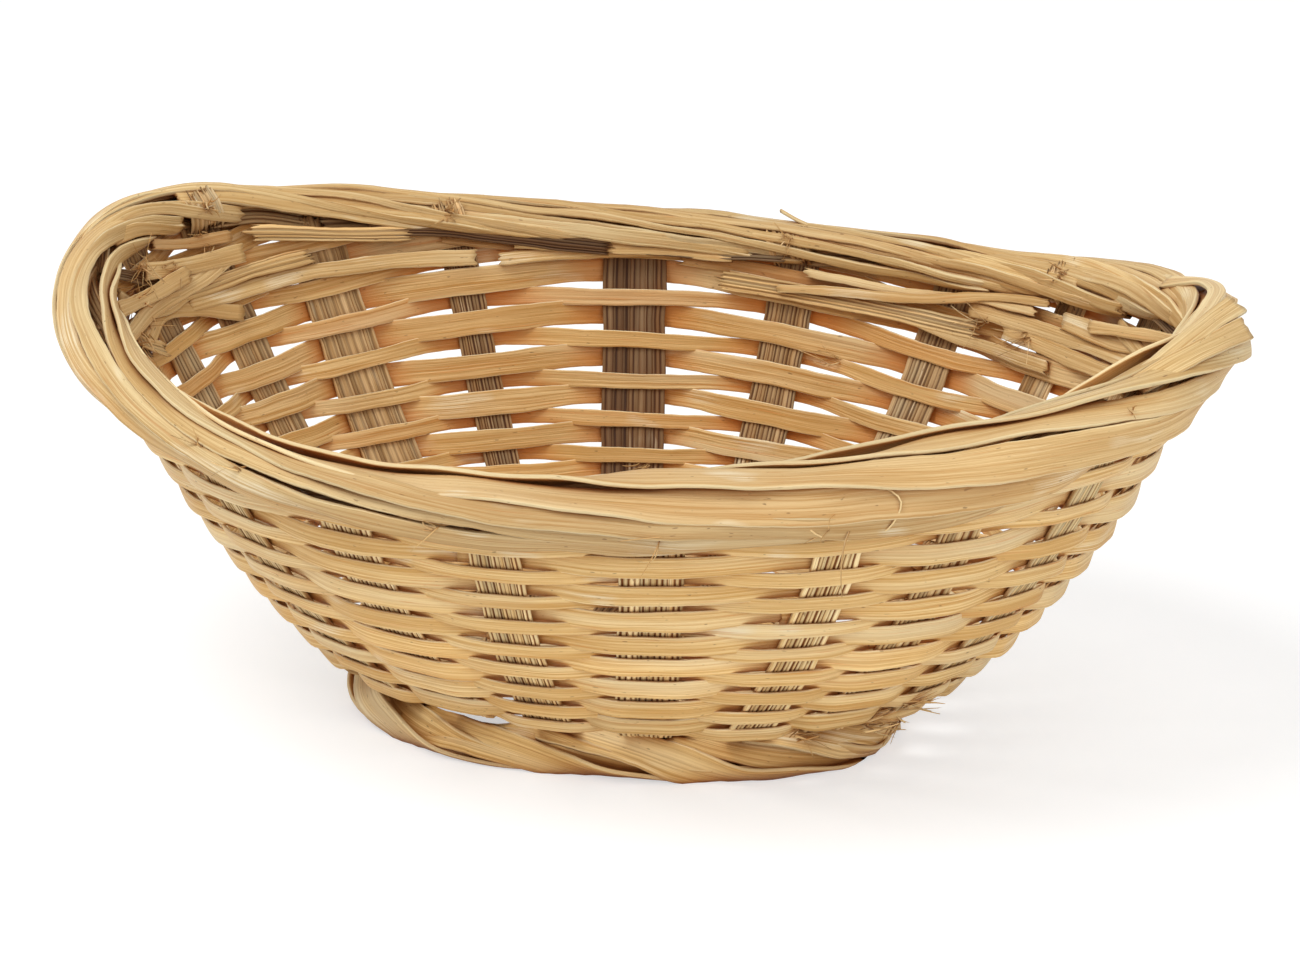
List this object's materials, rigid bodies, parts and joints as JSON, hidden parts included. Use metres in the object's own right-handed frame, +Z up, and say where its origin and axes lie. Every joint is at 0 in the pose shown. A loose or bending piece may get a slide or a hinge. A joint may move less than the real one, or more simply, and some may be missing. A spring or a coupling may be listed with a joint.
{
  "type": "bread basket",
  "caption": "Oval flared bread basket woven from split bamboo, with a wound border round the warped rim, an open top and a foot ring.",
  "frame": {"origin": "under the middle of the rim, on the surface that the foot ring stands on", "axes": "+X along the basket's long axis, +Y across it towards the side of the rim that stands higher, +Z up"},
  "size_m": [0.2381, 0.164, 0.096],
  "materials": {
    "split_stake": "split bamboo stakes, matt, with open lengthwise splits",
    "weaver_skin": "flat bamboo weavers, honey tan, low sheen",
    "border_cane": "pale straw bamboo strips, fine grain, low sheen",
    "foot_cane": "pale bamboo strips, fine grain, low sheen"
  },
  "bodies": {
    "root": {"stake_across_1": "split_stake", "stake_across_2": "split_stake", "stake_across_3": "split_stake", "stake_across_4": "split_stake", "stake_across_5": "split_stake", "stake_across_6": "split_stake", "stake_along_1": "split_stake", "stake_along_2": "split_stake", "stake_along_3": "split_stake", "stake_along_4": "split_stake", "weaver_row_01": "weaver_skin", "weaver_row_02": "weaver_skin", "weaver_row_03": "weaver_skin", "weaver_row_04": "weaver_skin", "weaver_row_05": "weaver_skin", "weaver_row_06": "weaver_skin", "weaver_row_07": "weaver_skin", "weaver_row_08": "weaver_skin", "weaver_row_09": "weaver_skin", "weaver_row_10": "weaver_skin", "weaver_row_11": "weaver_skin", "weaver_row_12": "weaver_skin", "weaver_row_13": "weaver_skin", "weaver_row_14": "weaver_skin", "weaver_row_15": "weaver_skin", "weaver_row_16": "weaver_skin", "border_strand_01": "border_cane", "border_strand_02": "border_cane", "border_strand_03": "border_cane", "border_strand_04": "border_cane", "border_strand_05": "border_cane", "border_strand_06": "border_cane", "border_strand_07": "border_cane", "border_strand_08": "border_cane", "border_strand_09": "border_cane", "border_strand_10": "border_cane", "border_strand_11": "border_cane", "border_strand_12": "border_cane", "border_strand_13": "border_cane", "border_strand_14": "border_cane", "border_strand_15": "border_cane", "border_strand_16": "border_cane", "border_strand_17": "border_cane", "border_strand_18": "border_cane", "border_strand_19": "border_cane", "border_strand_20": "border_cane", "foot_strand_01": "foot_cane", "foot_strand_02": "foot_cane", "foot_strand_03": "foot_cane", "foot_strand_04": "foot_cane", "foot_strand_05": "foot_cane", "foot_strand_06": "foot_cane", "foot_strand_07": "foot_cane", "foot_strand_08": "foot_cane", "foot_strand_09": "foot_cane", "foot_strand_10": "foot_cane"}
  },
  "joints": []
}
